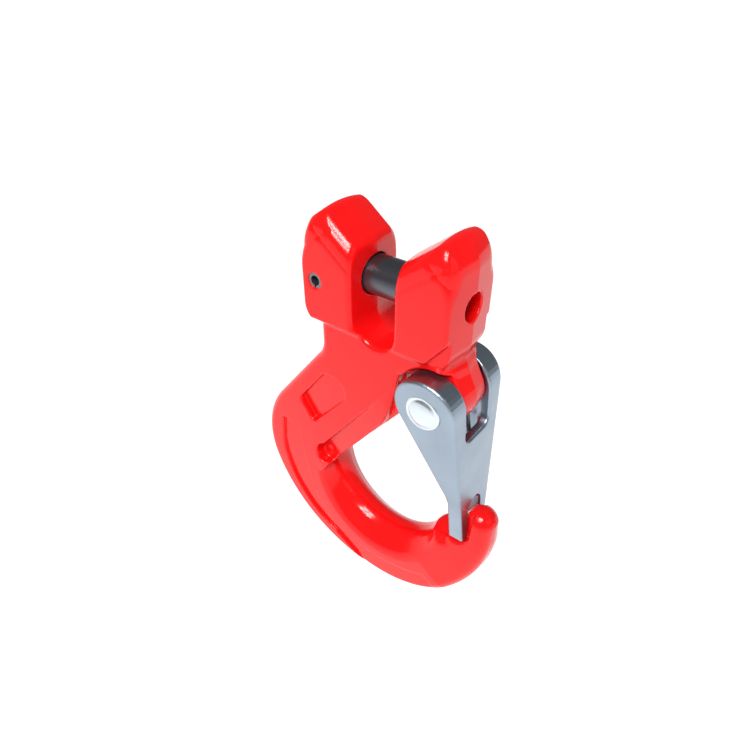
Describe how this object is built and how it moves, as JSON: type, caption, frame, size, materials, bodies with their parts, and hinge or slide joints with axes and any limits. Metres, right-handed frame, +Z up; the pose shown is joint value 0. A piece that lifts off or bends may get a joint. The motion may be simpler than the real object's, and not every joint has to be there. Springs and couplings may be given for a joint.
{
  "type": "clevis sling hook",
  "caption": "Forged clevis sling hook with a sprung latch, for hanging a load from lifting chain.",
  "frame": {"origin": "centre of the load pin, midway between the clevis ears", "axes": "+Z up, against the pull of the load; +X along the load pin towards the hook's tip and latch; +Y through the thickness of the hook"},
  "size_m": [0.0789, 0.025, 0.1188],
  "materials": {
    "red_paint": "gloss",
    "dark_steel": "satin",
    "roll_pin_steel": "satin",
    "latch_plating": "satin",
    "rivet_plating": "satin",
    "spring_steel": "satin"
  },
  "bodies": {
    "hook": {"hook_body": "red_paint", "load_pin": "dark_steel", "load_pin_retainer": "roll_pin_steel", "latch_spring": "spring_steel"},
    "latch": {"latch": "latch_plating", "latch_pin": "rivet_plating"}
  },
  "joints": [
    {"name": "latch_pivot", "type": "hinge", "parent": "hook", "child": "latch", "pos_m": [0.0167, 0, -0.025], "axis": [0, 1, 0], "range_deg": [0, 46], "stiffness_Nm_per_rad": 0.02, "springref_deg": -34.38, "deforming": ["latch_spring"]}
  ]
}
